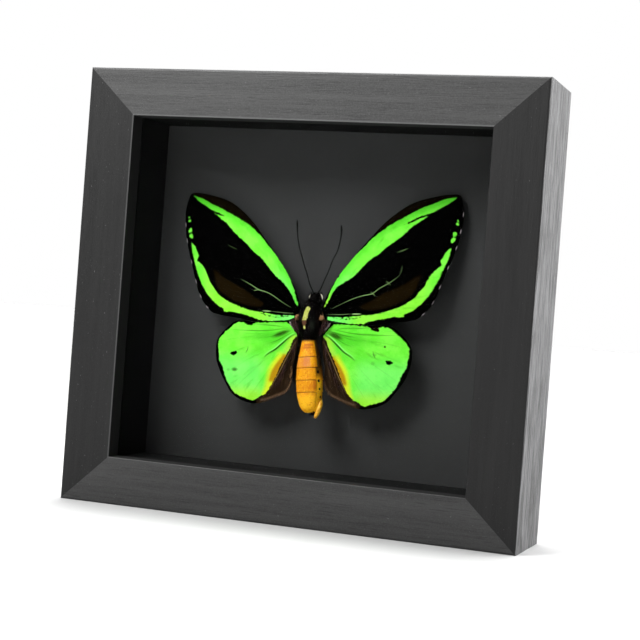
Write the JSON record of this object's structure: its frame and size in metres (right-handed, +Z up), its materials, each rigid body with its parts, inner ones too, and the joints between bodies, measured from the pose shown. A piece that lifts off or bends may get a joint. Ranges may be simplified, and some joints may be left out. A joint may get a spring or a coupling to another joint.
{
  "type": "butterfly display case",
  "caption": "Glazed shadow-box case: mitred dark wood frame, a spread green and black butterfly before a black board, turn buttons and a sawtooth hanger behind.",
  "frame": {"origin": "middle of the underside of the bottom rail, half-way through the moulding's depth", "axes": "+Z up, +X to the right of someone facing the glass, +Y towards the back; the glass faces -Y"},
  "size_m": [0.215, 0.048, 0.2],
  "materials": {
    "stained_wood": "black stain, satin, open grain",
    "lining": "matt black",
    "window_glass": "clear, low reflection",
    "mat_board": "matt black",
    "hardboard": "pressed, smooth face",
    "plated_steel": "zinc plated",
    "brass_plate": "stamped, satin",
    "cork": "fine cork",
    "wing_scales": "green and black scales, satin sheen",
    "body_black": "hairy, matt",
    "abdomen_gold": "smooth, satin",
    "eye_brown": "glossy"
  },
  "bodies": {
    "case": {"frame_top_rail": "stained_wood", "frame_bottom_rail": "stained_wood", "frame_left_stile": "stained_wood", "frame_right_stile": "stained_wood", "corner_v_nails": "plated_steel", "glass_pane": "window_glass", "mount_board": "mat_board", "back_panel": "hardboard", "spacer_top": "lining", "spacer_bottom": "lining", "spacer_left": "lining", "spacer_right": "lining", "turn_button_screws": "plated_steel", "sawtooth_hanger": "plated_steel", "hanger_nails": "plated_steel", "mounting_block": "cork", "butterfly_thorax": "body_black", "butterfly_head": "body_black", "butterfly_eyes": "eye_brown", "butterfly_abdomen": "abdomen_gold", "forewing_left": "wing_scales", "forewing_right": "wing_scales", "hindwing_left": "wing_scales", "hindwing_right": "wing_scales", "antenna_left": "body_black", "antenna_right": "body_black"},
    "turn_button_upper_left": {"turn_button_upper_left": "brass_plate"},
    "turn_button_upper_right": {"turn_button_upper_right": "brass_plate"},
    "turn_button_lower_left": {"turn_button_lower_left": "brass_plate"},
    "turn_button_lower_right": {"turn_button_lower_right": "brass_plate"}
  },
  "joints": [
    {"name": "upper_left_button_turn", "type": "hinge", "parent": "case", "child": "turn_button_upper_left", "pos_m": [-0.0983, 0.0227, 0.152], "axis": [0, 1, 0], "continuous": true},
    {"name": "upper_right_button_turn", "type": "hinge", "parent": "case", "child": "turn_button_upper_right", "pos_m": [0.0983, 0.0227, 0.152], "axis": [0, 1, 0], "continuous": true},
    {"name": "lower_left_button_turn", "type": "hinge", "parent": "case", "child": "turn_button_lower_left", "pos_m": [-0.0983, 0.0227, 0.048], "axis": [0, 1, 0], "continuous": true},
    {"name": "lower_right_button_turn", "type": "hinge", "parent": "case", "child": "turn_button_lower_right", "pos_m": [0.0983, 0.0227, 0.048], "axis": [0, 1, 0], "continuous": true}
  ]
}
